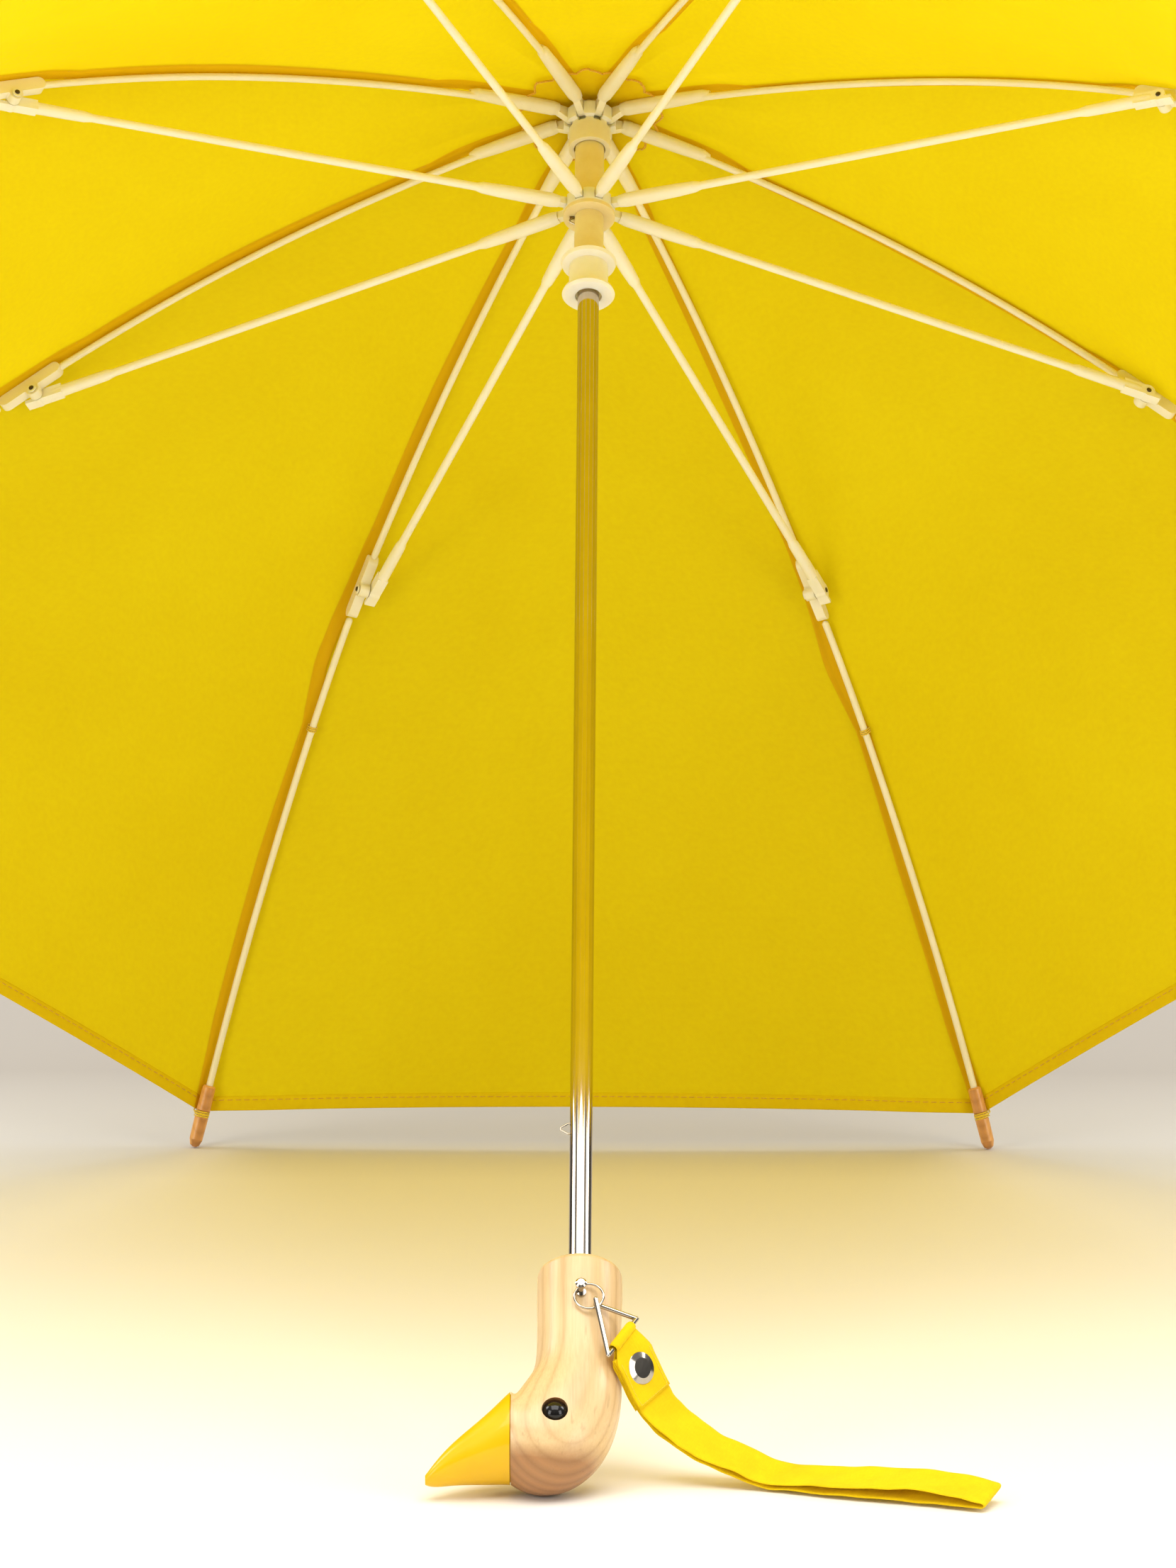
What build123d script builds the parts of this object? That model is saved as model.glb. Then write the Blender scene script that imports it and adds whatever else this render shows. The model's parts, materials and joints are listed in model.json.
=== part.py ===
"""Children's stick umbrella with a carved duck-head handle, open and lying on a floor.

Everything on the shaft is drawn upright: Z runs along the shaft from the handle to the crown,
and zero is the top of the wooden handle. REST then lays the finished pieces on the floor.
"""
import math
import os

from build123d import *

os.makedirs("parts", exist_ok=True)

# ---- driving dimensions, mm and degrees ----
RIB_COUNT = 8
PITCH = 360 / RIB_COUNT
FIRST_AZ = PITCH / 2

SHAFT_R = 4.0
SHAFT_BORE_R = 3.3
SHAFT_BOTTOM = -32.0
NOTCH_Z = 521.5
SHAFT_TOP = NOTCH_Z + 32

NOTCH_R = 9.9
NOTCH_HALF = 3.0
NOTCH_HINGE_R = 8.0
CUP_R = 7.9
CUP_BORE_R = 5.9
CUP_BOTTOM = NOTCH_Z - 13

RUNNER_DROP = 41.6
RUNNER_Z = NOTCH_Z - RUNNER_DROP
RUNNER_BORE_R = 4.08
RUNNER_TUBE_R = 5.5
RUNNER_RING_R = 9.75
RUNNER_RING_HALF = 2.6
RUNNER_HINGE_R = 8.3
RIM_LOW = 4.6
RIM_HIGH = 2.15
SLEEVE_UP = 31.6
TUBE_DOWN = 24.0
SPIGOT_R = 4.9
SPIGOT_DOWN = 41.5

COLLAR_BORE_R = 4.98
COLLAR_TOP = 24.4
COLLAR_BOTTOM = 42.6
FLANGE_R = 10.4
LOWER_FLANGE_R = 9.9
WAIST_R = 7.3

WIRE_R = 0.6
WIRE_HOLE_R = 0.63
TANG_HOLE_R = 0.76
SLOT_W = 3.2
TANG_W = 2.7
TANG_R = 2.0

RIB_R = 1.35
RIB_OFF = 3.4
RIB_LENGTH = 447.0
RIB_STATIONS = (0, 116, 232, 262, 293, 375, 457, 480)
RIB_SLOPES = (6.0, 15.4, 26.0, 31.0, 35.0, 42.0, 50.0, 52.0)
JOINT_S = 232.0
FLEX_S = 246.0
RIB_LEAN = 1.95
BLOCK_W = 3.9
BLOCK_HALF = 2.6
RIVET_R = 1.1

STRETCHER_R = 1.55
STRETCHER_LEAN = -2.6
EYE_W = 4.2
EYE_R = 2.6

TIP_START = 445.0
TIP_END = 470.0
TIP_R = 2.75

FABRIC_T = 0.8
HEM_S = 456.0

CATCH_WIRE_R = 0.35
CATCH_REACH = 7.2
LOWER_CATCH_Z = 61.0
UPPER_CATCH_Z = RUNNER_Z - 6.0

NECK_R = 14.75
BEAK_X = -23.2
GROOVE = 0.35

STUD = (0.7, -17.6)
STUD_R = 0.9
SPLIT_RING_R = 5.05
SPLIT_WIRE_R = 0.45
SPLIT_RING_C = (3.4, -16.3, -20.05)
LINK_WIRE_R = 0.85
STRAP_W = 17.0
LOOP_W = 13.4
STRAP_T = 0.8

TILT = 43.103
SHIFT_Y = -211.236
SHIFT_Z = 65.648

REST = Location((0, SHIFT_Y, SHIFT_Z), (TILT - 90, 0, 0))
ON_FLOOR = Location((0, SHIFT_Y, 0))


def slope_at(s):
    """Slope of a rib below the horizontal at arc length s."""
    for i in range(len(RIB_STATIONS) - 1):
        a, b = RIB_STATIONS[i], RIB_STATIONS[i + 1]
        if s <= b:
            k = max(0.0, (s - a) / (b - a))
            return math.radians(RIB_SLOPES[i] + k * (RIB_SLOPES[i + 1] - RIB_SLOPES[i]))
    return math.radians(RIB_SLOPES[-1])


def rib_point(s, off=0.0):
    """Radius and height of the rib's centre line at arc length s, moved off outwards."""
    start = slope_at(0)
    r = NOTCH_HINGE_R + RIB_OFF * math.sin(start)
    z = NOTCH_Z + RIB_OFF * math.cos(start)
    steps = max(1, int(s / 2))
    ds = s / steps
    for i in range(steps):
        a = slope_at((i + 0.5) * ds)
        r += math.cos(a) * ds
        z -= math.sin(a) * ds
    end = slope_at(s)
    return r + off * math.sin(end), z + off * math.cos(end)


def rib_lean(s):
    """Sideways lean of the rib: it grows to the joint block, then dies out at the tip."""
    if s <= JOINT_S + 16:
        return RIB_LEAN * min(1.0, s / JOINT_S)
    return RIB_LEAN * max(0.0, (TIP_START - s) / (TIP_START - JOINT_S - 16))


def rib_xyz(s, off=0.0):
    r, z = rib_point(s, off)
    return (r, rib_lean(s), z)


def rod(points, radius):
    """Round rod along a smooth line."""
    with BuildLine() as path:
        Spline(*points)
    with BuildSketch(Plane(origin=path.line @ 0, z_dir=path.line % 0)) as section:
        Circle(radius)
    sweep(section.sketch, path=path.line)


def turned(origin, direction, stations):
    """Turned solid on an axis, from (distance, radius) stations."""
    d = Vector(*direction).normalized()
    side = Vector(0, 1, 0) if abs(d.Y) < 0.9 else Vector(1, 0, 0)
    z_dir = d.cross(side)
    outline = [(stations[0][0], 0)] + list(stations) + [(stations[-1][0], 0)]
    with BuildSketch(Plane(origin=origin, x_dir=d, z_dir=z_dir)) as profile:
        with BuildLine():
            Polyline(*outline, close=True)
        make_face()
    revolve(profile.sketch, axis=Axis(origin, d))


def ring_cut(radius, z, wire):
    """Cut a round wire channel about the shaft."""
    with BuildSketch(Plane.XZ) as channel:
        with Locations((radius, z)):
            Circle(wire)
    revolve(channel.sketch, axis=Axis.Z, mode=Mode.SUBTRACT)


def slots(low, high, inner):
    """Cut one radial slot per rib between two heights."""
    with BuildSketch(Plane.XY.offset(low)) as openings:
        with PolarLocations(inner + 5, RIB_COUNT, start_angle=FIRST_AZ):
            Rectangle(10, SLOT_W)
    extrude(openings.sketch, amount=high - low, mode=Mode.SUBTRACT)


JOINT_R, JOINT_Z = rib_point(JOINT_S, -RIB_OFF)
TANGENT_J = slope_at(JOINT_S)

# ---- shaft ----
with BuildPart() as shaft:
    with BuildSketch(Plane.XY.offset(SHAFT_BOTTOM)):
        Circle(SHAFT_R)
        Circle(SHAFT_BORE_R, mode=Mode.SUBTRACT)
    extrude(amount=SHAFT_TOP - SHAFT_BOTTOM)
    for z in (LOWER_CATCH_Z, UPPER_CATCH_Z):
        with BuildSketch(Plane.XY.offset(z - 2.9)):
            with Locations((-SHAFT_R, 0)):
                Rectangle(4, 1.4)
        extrude(amount=5.8, mode=Mode.SUBTRACT)

# ---- notch, its cup and wire ----
with BuildPart() as notch:
    with BuildSketch(Plane.XY.offset(NOTCH_Z - NOTCH_HALF)):
        Circle(NOTCH_R)
    extrude(amount=2 * NOTCH_HALF)
    with BuildSketch(Plane.XY.offset(CUP_BOTTOM)):
        Circle(CUP_R)
    extrude(amount=NOTCH_Z - CUP_BOTTOM)
    with BuildSketch(Plane.XY.offset(NOTCH_Z)):
        Circle(6.4)
    extrude(amount=7.0)
    with BuildSketch(Plane.XY.offset(CUP_BOTTOM)):
        Circle(CUP_BORE_R)
    extrude(amount=8.0, mode=Mode.SUBTRACT)
    with BuildSketch(Plane.XY.offset(CUP_BOTTOM)):
        Circle(SHAFT_R + 0.01)
    extrude(amount=30, mode=Mode.SUBTRACT)
    slots(NOTCH_Z - NOTCH_HALF - 1, NOTCH_Z + NOTCH_HALF + 1, 5.6)
    ring_cut(NOTCH_HINGE_R, NOTCH_Z, WIRE_HOLE_R)

with BuildPart() as notch_wire:
    with BuildSketch(Plane.XZ):
        with Locations((NOTCH_HINGE_R, NOTCH_Z)):
            Circle(WIRE_R)
    revolve(axis=Axis.Z)

# ---- crown: ferrule, cap and inner rosette ----
with BuildPart() as ferrule:
    base = NOTCH_Z + 11.4
    turned((0, 0, base), (0, 0, 1),
           [(0, 8.6), (1.6, 9.2), (3.2, 8.2), (6.0, 5.6), (9.0, 4.9), (40.0, 4.9), (42.5, 4.3), (44.0, 2.8)])
    with BuildSketch(Plane.XY.offset(base)):
        Circle(SHAFT_R + 0.01)
    extrude(amount=SHAFT_TOP - base + 0.2, mode=Mode.SUBTRACT)

with BuildPart() as crown_cap:
    with BuildSketch(Plane.XZ):
        with BuildLine():
            Polyline((4.05, NOTCH_Z + 10.2), (4.05, NOTCH_Z + 11.3), (9.0, NOTCH_Z + 11.0),
                     (15.0, NOTCH_Z + 10.0), (15.0, NOTCH_Z + 9.3), (9.0, NOTCH_Z + 9.9), close=True)
        make_face()
    revolve(axis=Axis.Z)

with BuildPart() as crown_rosette:
    with BuildSketch(Plane.XZ):
        with BuildLine():
            Polyline((6.6, NOTCH_Z + 6.9), (6.6, NOTCH_Z + 7.3), (28.0, NOTCH_Z + 4.75),
                     (28.0, NOTCH_Z + 4.35), close=True)
        make_face()
    revolve(axis=Axis.Z)
    with BuildSketch(Plane.XY.offset(NOTCH_Z)):
        Circle(23.2)
        with PolarLocations(23.0, 16):
            Circle(4.5)
    extrude(amount=12, mode=Mode.INTERSECT)

# ---- runner, its wire and the release collar ----
with BuildPart() as runner:
    with BuildSketch(Plane.XY.offset(RUNNER_Z - TUBE_DOWN)):
        Circle(RUNNER_TUBE_R)
    extrude(amount=TUBE_DOWN + SLEEVE_UP)
    with BuildSketch(Plane.XY.offset(RUNNER_Z - RIM_LOW)):
        Circle(RUNNER_RING_R)
    extrude(amount=RIM_LOW + RUNNER_RING_HALF)
    with BuildSketch(Plane.XY.offset(RUNNER_Z - SPIGOT_DOWN)):
        Circle(SPIGOT_R)
    extrude(amount=SPIGOT_DOWN)
    with BuildSketch(Plane.XY.offset(RUNNER_Z - SPIGOT_DOWN - 1)):
        Circle(RUNNER_BORE_R)
    extrude(amount=SPIGOT_DOWN + SLEEVE_UP + 2, mode=Mode.SUBTRACT)
    slots(RUNNER_Z - RIM_HIGH, RUNNER_Z + RUNNER_RING_HALF + 1, 5.9)
    ring_cut(RUNNER_HINGE_R, RUNNER_Z, WIRE_HOLE_R)
    # window for the catch, and a lead-in notch at the top of the sleeve
    for base, height in ((-13.0, 10.0), (27.4, 6.0)):
        with BuildSketch(Plane.XY.offset(RUNNER_Z + base)):
            with Locations((-RUNNER_TUBE_R, 0)):
                Rectangle(3.6, 2.2)
        extrude(amount=height, mode=Mode.SUBTRACT)

with BuildPart() as runner_wire:
    with BuildSketch(Plane.XZ):
        with Locations((RUNNER_HINGE_R, RUNNER_Z)):
            Circle(WIRE_R)
    revolve(axis=Axis.Z)

with BuildPart() as release_collar:
    top = RUNNER_Z - COLLAR_TOP
    low = RUNNER_Z - COLLAR_BOTTOM
    with BuildSketch(Plane.XZ):
        with BuildLine():
            Polyline((COLLAR_BORE_R, low), (LOWER_FLANGE_R - 0.9, low), (LOWER_FLANGE_R, low + 1.0),
                     (LOWER_FLANGE_R - 0.5, low + 2.3), (WAIST_R, low + 3.2), (WAIST_R, top - 4.2),
                     (FLANGE_R - 0.5, top - 3.2), (FLANGE_R, top - 1.8), (FLANGE_R - 1.4, top - 0.6),
                     (7.0, top), (COLLAR_BORE_R, top), close=True)
        make_face()
    revolve(axis=Axis.Z)


def catch(z):
    """Sprung wire catch that stands out of the shaft."""
    with BuildPart() as piece:
        with BuildLine() as path:
            Polyline((-1.6, 0, z - 2.2), (-4.6, 0, z - 2.2), (-CATCH_REACH, 0, z - 0.5),
                     (-CATCH_REACH, 0, z + 0.5), (-4.6, 0, z + 2.2), (-1.6, 0, z + 2.2))
        with BuildSketch(Plane(origin=(-1.6, 0, z - 2.2), z_dir=(-1, 0, 0))):
            Circle(CATCH_WIRE_R)
        sweep(path=path.line, transition=Transition.RIGHT)
    return piece.part


lower_catch = catch(LOWER_CATCH_Z)
upper_catch = catch(UPPER_CATCH_Z)

# ---- one rib, drawn in the XZ plane ----
START = slope_at(0)
ROOT_DIR = (math.cos(START), RIB_LEAN / JOINT_S, -math.sin(START))

with BuildPart() as rib_inner:
    rod([rib_xyz(s) for s in (4, 40, 80, 120, 160, 200, 232, 244)], RIB_R)
    turned(rib_xyz(0), ROOT_DIR, [(4.6, 2.3), (7, 2.8), (16, 2.85), (30, 2.6), (38, 2.3), (41, 1.4)])
    with BuildSketch(Plane.XZ):
        with Locations((NOTCH_HINGE_R, NOTCH_Z)):
            Circle(TANG_R)
        with BuildLine():
            Polyline((NOTCH_HINGE_R - 1.9, NOTCH_Z + 0.5), (NOTCH_HINGE_R - 0.9, NOTCH_Z + 3.6),
                     rib_point(6, 1.5), rib_point(6, -1.6), (NOTCH_HINGE_R + 1.6, NOTCH_Z - 1.2), close=True)
        make_face()
    extrude(amount=TANG_W / 2, both=True)
    with BuildSketch(Plane.XZ):
        with Locations((NOTCH_HINGE_R, NOTCH_Z)):
            Circle(TANG_HOLE_R)
    extrude(amount=4, both=True, mode=Mode.SUBTRACT)
    with BuildSketch(Plane.XZ.offset(-(0.05 + BLOCK_W / 2))):
        with Locations(Location((*rib_point(JOINT_S, 0), 0), (0, 0, -math.degrees(TANGENT_J)))):
            SlotOverall(27.4, 2 * BLOCK_HALF)
        with BuildLine():
            Polyline(rib_point(JOINT_S - 5, 0), rib_point(JOINT_S + 5, 0),
                     rib_point(JOINT_S + 2.4, -RIB_OFF), rib_point(JOINT_S - 2.4, -RIB_OFF), close=True)
        make_face()
        with Locations((JOINT_R, JOINT_Z)):
            Circle(EYE_R)
    extrude(amount=BLOCK_W / 2, both=True)
    with BuildSketch(Plane.XZ):
        with Locations((JOINT_R, JOINT_Z)):
            Circle(RIVET_R + 0.3)
    extrude(amount=6, both=True, mode=Mode.SUBTRACT)

with BuildPart() as rib_outer:
    rod([rib_xyz(s) for s in (FLEX_S + 1.7, 262, 293, 330, 375, 415, 436, RIB_LENGTH)], RIB_R)
    with Locations(rib_xyz(FLEX_S + 1.7)):
        Sphere(RIB_R)

with BuildPart() as rib_tip:
    a = slope_at(457)
    turned(rib_xyz(TIP_START), (math.cos(a), 0, -math.sin(a)),
           [(0, 2.1), (0.7, 2.6), (10.0, TIP_R), (10.6, 2.25), (12.4, 2.25), (13.0, TIP_R),
            (22.0, 2.6), (24.2, 1.9), (25.0, 0.8)])
    with BuildSketch(Plane(origin=rib_xyz(TIP_START), z_dir=(math.cos(a), 0, -math.sin(a)))):
        Circle(RIB_R + 0.06)
    extrude(amount=2.3, mode=Mode.SUBTRACT)

# ---- one stretcher, drawn in the XZ plane ----
SPAN_R = JOINT_R - RUNNER_HINGE_R
SPAN_Z = JOINT_Z - RUNNER_Z
SPAN = math.hypot(SPAN_R, SPAN_Z)
AIM = Vector(SPAN_R, STRETCHER_LEAN, SPAN_Z).normalized()
HINGE_1 = Vector(RUNNER_HINGE_R, 0, RUNNER_Z)
SPAN_DEG = math.degrees(math.atan2(SPAN_Z, SPAN_R))

with BuildPart() as stretcher:
    turned(tuple(HINGE_1), tuple(AIM),
           [(4.2, 2.3), (7, 2.7), (16, 2.75), (28, 2.55), (35, 2.2), (37.5, STRETCHER_R),
            (190, STRETCHER_R), (193, 2.1), (199, 2.2), (SPAN - 6, 2.3), (SPAN - 3, 2.1)])
    with BuildSketch(Plane.XZ):
        with Locations((RUNNER_HINGE_R, RUNNER_Z)):
            Circle(TANG_R)
        with Locations(Location((RUNNER_HINGE_R, RUNNER_Z, 0), (0, 0, SPAN_DEG))):
            with Locations((3.2, 0)):
                Rectangle(6.4, 3.2)
    extrude(amount=TANG_W / 2, both=True)
    with BuildSketch(Plane.XZ):
        with Locations((RUNNER_HINGE_R, RUNNER_Z)):
            Circle(TANG_HOLE_R)
    extrude(amount=4, both=True, mode=Mode.SUBTRACT)
    with BuildSketch(Plane.XZ.offset(0.3 + EYE_W / 2)):
        with Locations((JOINT_R, JOINT_Z)):
            Circle(EYE_R)
        with Locations(Location((JOINT_R, JOINT_Z, 0), (0, 0, SPAN_DEG))):
            with Locations((-5.0, 0)):
                Rectangle(10, 4.4)
            with Locations((2.8, -1.7)):
                Rectangle(4.4, 1.5)
    extrude(amount=EYE_W / 2, both=True)
    with BuildSketch(Plane.XZ.offset(EYE_W + 0.3)):
        with Locations((JOINT_R, JOINT_Z)):
            Circle(RIVET_R)
    extrude(amount=-(EYE_W + BLOCK_W + 1.1))
    with BuildSketch(Plane.XZ.offset(-(BLOCK_W + 0.3))):
        with Locations((JOINT_R, JOINT_Z)):
            Circle(RIVET_R + 0.7)
    extrude(amount=-0.5)


# ---- one canopy gore, its middle in the XZ plane ----
def fabric_off(s):
    """Height of the cloth above the rib's centre line: it bulges over fittings."""
    bumps = ((0, 4.4), (44, 4.4), (62, 2.1), (204, 2.5), (216, 3.7), (250, 3.7), (262, 2.6),
             (432, 2.3), (442, 3.3), (480, 3.3))
    for (a, p), (b, q) in zip(bumps, bumps[1:]):
        if s <= b:
            return p + (q - p) * (s - a) / (b - a)
    return bumps[-1][1]


HALF = math.radians(PITCH / 2)
GORE_S = (0, 22, 44, 62, 90, 120, 150, 178, 204, 216, 233, 250, 262, 285, 310, 335, 360, 385, 410, 432, 442, HEM_S)


def gore_line(extra):
    pts = []
    first = rib_point(0, fabric_off(0) + extra)
    slope = math.tan(slope_at(0))
    pts.append((5.6 * math.cos(HALF), first[1] + slope * (first[0] - 5.6)))
    for s in GORE_S:
        r, z = rib_point(s, fabric_off(s) + extra)
        pts.append((r * math.cos(HALF), z))
    return pts


with BuildPart() as gore:
    under = gore_line(0)
    over = gore_line(FABRIC_T)
    with BuildSketch(Plane.XZ):
        with BuildLine():
            Polyline(*under, *reversed(over), close=True)
        make_face()
    extrude(amount=175, both=True)
    with BuildSketch(Plane.XY.offset(NOTCH_Z - 260)):
        with BuildLine():
            gap = 0.2 / math.sin(HALF)
            Polyline((gap, 0), (gap + 500 * math.cos(HALF), 500 * math.sin(HALF)),
                     (gap + 500 * math.cos(HALF), -500 * math.sin(HALF)), close=True)
        make_face()
    extrude(amount=320, mode=Mode.INTERSECT)
    with BuildSketch(Plane.XY.offset(NOTCH_Z - 5)):
        Circle(6.7)
    extrude(amount=40, mode=Mode.SUBTRACT)

# ---- duck-head handle ----
# Each section runs from a point on the throat side to a point on the nape side.
THROAT = ((-NECK_R, -3), (-NECK_R, -18), (-NECK_R, -32), (-15.5, -40.0), (-17.4, -45.0), (-19.8, -49.0),
          (BEAK_X, -52.0))
NAPE = ((NECK_R, -3), (NECK_R, -18), (NECK_R, -33), (14.9, -49), (12.2, -67.5), (3.5, -82.2),
        (BEAK_X, -84.2))
BREADTH = (NECK_R, NECK_R, NECK_R, 15.6, 17.0, 17.6, 16.1)

with BuildPart() as duck_head:
    for p, q, half_w in zip(THROAT, NAPE, BREADTH):
        mid = ((p[0] + q[0]) / 2, 0, (p[1] + q[1]) / 2)
        across = Vector(q[0] - p[0], 0, q[1] - p[1])
        with BuildSketch(Plane(origin=mid, x_dir=across, z_dir=across.cross(Vector(0, 1, 0)))):
            Ellipse(across.length / 2, half_w)
    loft()
    turned((0, 0, -3.2), (0, 0, 1), [(0, NECK_R), (0.9, NECK_R), (2.0, NECK_R - 0.4), (2.8, NECK_R - 1.3),
                                     (3.2, NECK_R - 2.6)])
    with BuildSketch(Plane.XY.offset(SHAFT_BOTTOM - 0.5)):
        Circle(SHAFT_R + 0.01)
    extrude(amount=40, mode=Mode.SUBTRACT)
    with BuildSketch(Plane(origin=(BEAK_X - 1, 0, -68.1), z_dir=(1, 0, 0))):
        Circle(6.02)
    extrude(amount=9.2, mode=Mode.SUBTRACT)
    for side in (-1, 1):
        with BuildSketch(Plane(origin=(-8, side * 13.0, -67), z_dir=(0, side, 0))):
            Circle(4.55)
        extrude(amount=10, mode=Mode.SUBTRACT)
    with BuildSketch(Plane(origin=(0.7, -8.5, -17.6), z_dir=(0, -1, 0))):
        Circle(0.95)
    extrude(amount=10, mode=Mode.SUBTRACT)

BEAK_SECTIONS = ((BEAK_X - GROOVE, 16.1, 16.1, -68.1), (-27.5, 13.9, 14.8, -70.3), (-33, 11.2, 12.6, -73.4),
                 (-43, 7.0, 8.4, -78.7), (-49.5, 3.7, 4.9, -83.2), (-52.6, 1.5, 2.0, -85.2))
with BuildPart() as beak:
    for x, half_h, half_w, z in BEAK_SECTIONS:
        with BuildSketch(Plane(origin=(x, 0, z), x_dir=(0, 1, 0), z_dir=(1, 0, 0))):
            Ellipse(half_w, half_h)
    loft()
    with BuildSketch(Plane(origin=(BEAK_X - 1, 0, -68.1), z_dir=(1, 0, 0))):
        Circle(6.0)
    extrude(amount=9.0)
    with BuildSketch(Plane(origin=(BEAK_X - GROOVE, 0, -68.1), z_dir=(1, 0, 0))):
        Circle(15.2)
    extrude(amount=GROOVE)


def eye(side):
    """Round glossy eye on a short stem, in its drilled socket."""
    with BuildPart() as piece:
        with Locations((-8, side * 14.2, -67)):
            Sphere(4.3)
        with BuildSketch(Plane(origin=(-8, side * 13.02, -67), z_dir=(0, side, 0))):
            Rectangle(12, 12)
        extrude(amount=8, mode=Mode.INTERSECT)
    return piece.part


eye_left = eye(-1)
eye_right = eye(1)

# ---- strap stud and split ring on the neck ----
with BuildPart() as strap_stud:
    turned((STUD[0], -8.6, STUD[1]), (0, -1, 0),
           [(0, STUD_R), (6.3, STUD_R), (6.3, 1.7), (6.8, 1.7), (6.8, STUD_R), (11.2, STUD_R),
            (11.2, 1.9), (12.4, 2.0), (13.0, 1.3)])

with BuildPart() as split_ring:
    with BuildSketch(Plane(origin=SPLIT_RING_C, x_dir=(1, 0, 0), z_dir=(0, 0, 1))):
        with Locations((SPLIT_RING_R, 0)):
            Circle(SPLIT_WIRE_R)
    revolve(axis=Axis(SPLIT_RING_C, (0, 1, 0)))


# ---- wire link and strap, drawn as they lie over the floor ----
def floor_point(x, y, z):
    """A point drawn on the upright umbrella, moved to where it is over the floor."""
    a = math.radians(TILT - 90)
    return (x, y * math.cos(a) - z * math.sin(a), y * math.sin(a) + z * math.cos(a) + SHIFT_Z)


LINK_BASE = Vector(15.1, -36.0, 51.8)
LINK_DIR = Vector(0.473, 0.753, 0.446).normalized()
diag = math.sqrt(0.5) * (SPLIT_RING_R - 1.7)
APEX_FRONT = floor_point(SPLIT_RING_C[0] + diag, SPLIT_RING_C[1] - 1.75, SPLIT_RING_C[2] - diag)
APEX_BACK = floor_point(SPLIT_RING_C[0] + diag, SPLIT_RING_C[1] + 1.5, SPLIT_RING_C[2] - diag)

with BuildPart() as wire_link:
    corner_a = LINK_BASE - LINK_DIR * 10.2
    corner_b = LINK_BASE + LINK_DIR * 10.2
    corners = (corner_a, Vector(*APEX_FRONT), Vector(*APEX_BACK), corner_b)
    for p, q in zip(corners, corners[1:] + corners[:1]):
        turned(tuple(p), tuple(q - p), [(0, LINK_WIRE_R), ((q - p).length, LINK_WIRE_R)])
        with Locations(p):
            Sphere(LINK_WIRE_R)

# Strap stations: centre, width direction, spacing of the two layers. A height of None lies on the floor.
TAB_DIR = (0.66, 0.71, 0.23)
STRAP_LINE = (
    ((16.6, -36.1, 49.0), TAB_DIR, 0.76),
    ((20.6, -36.1, 40.6), TAB_DIR, 0.76),
    ((24.4, -36.0, 32.4), TAB_DIR, 0.76),
    ((29.4, -36.0, 25.0), (0.60, 0.76, 0.24), 0.9),
    ((36.6, -36.4, 18.6), (0.53, 0.80, 0.26), 1.05),
    ((45.1, -37.0, 12.9), (0.47, 0.83, 0.27), 1.15),
    ((56.0, -38.6, 7.4), (0.42, 0.87, 0.26), 1.2),
    ((67.0, -40.6, None), (0.38, 0.90, 0.22), 1.3),
    ((78.5, -45.0, None), (0.36, 0.91, 0.20), 1.5),
    ((91.3, -50.6, None), (0.33, 0.92, 0.20), 2.2),
    ((104.9, -55.2, None), (0.30, 0.93, 0.20), 3.0),
    ((118.0, -59.2, None), (0.27, 0.94, 0.20), 3.4),
    ((131.5, -64.4, None), (0.24, 0.95, 0.21), 2.6),
    ((141.8, -68.6, None), (0.20, 0.95, 0.22), 1.1),
    ((144.4, -69.7, None), (0.20, 0.95, 0.22), 0.6),
)


def strap_frames():
    """Plane of each strap station, with the spacing of its layers."""
    frames = []
    last = len(STRAP_LINE) - 1
    for i, (centre, width, gap) in enumerate(STRAP_LINE):
        before = STRAP_LINE[max(0, i - 1)][0]
        after = STRAP_LINE[min(last, i + 1)][0]
        z0 = 4.0 if before[2] is None else before[2]
        z1 = 4.0 if after[2] is None else after[2]
        along = Vector(after[0] - before[0], after[1] - before[1], z1 - z0).normalized()
        u = Vector(*width)
        u = (u - along * u.dot(along)).normalized()
        n = along.cross(u)
        height = centre[2]
        if height is None:
            height = abs(u.Z) * STRAP_W / 2 + abs(n.Z) * (gap + STRAP_T) / 2 + 0.02
        frames.append((Plane(origin=(centre[0], centre[1], height), x_dir=u, z_dir=along), gap))
    return frames


with BuildPart() as strap:
    frames = strap_frames()
    for side in (-1, 1):
        for frame, gap in frames:
            with BuildSketch(frame):
                with Locations((0, side * gap / 2)):
                    Rectangle(STRAP_W, STRAP_T)
        loft(ruled=True)
    tab_top = frames[0][0]
    with BuildSketch(Plane(origin=LINK_BASE, z_dir=LINK_DIR)):
        Circle(2.0)
    extrude(amount=LOOP_W / 2, both=True)
    with BuildSketch(Plane(origin=LINK_BASE, x_dir=LINK_DIR, z_dir=(tab_top.origin - LINK_BASE).normalized())):
        Rectangle(LOOP_W, 1.7)
    with BuildSketch(tab_top):
        Rectangle(STRAP_W, 1.6)
    loft(ruled=True)
    with BuildSketch(Plane(origin=LINK_BASE - LINK_DIR * 15, z_dir=LINK_DIR)):
        Circle(LINK_WIRE_R + 0.2)
    extrude(amount=30, mode=Mode.SUBTRACT)

with BuildPart() as strap_snap:
    tab = strap_frames()[1][0]
    face = Plane(origin=tab.origin, x_dir=tab.x_dir, z_dir=tab.y_dir)
    outward = tab.y_dir if tab.y_dir.Y < 0 else -tab.y_dir
    turned(tuple(tab.origin + outward * (0.38 + STRAP_T / 2)), tuple(outward),
           [(0, 5.4), (0.5, 6.0), (1.0, 5.6), (1.5, 3.6), (1.6, 1.2)])

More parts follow.
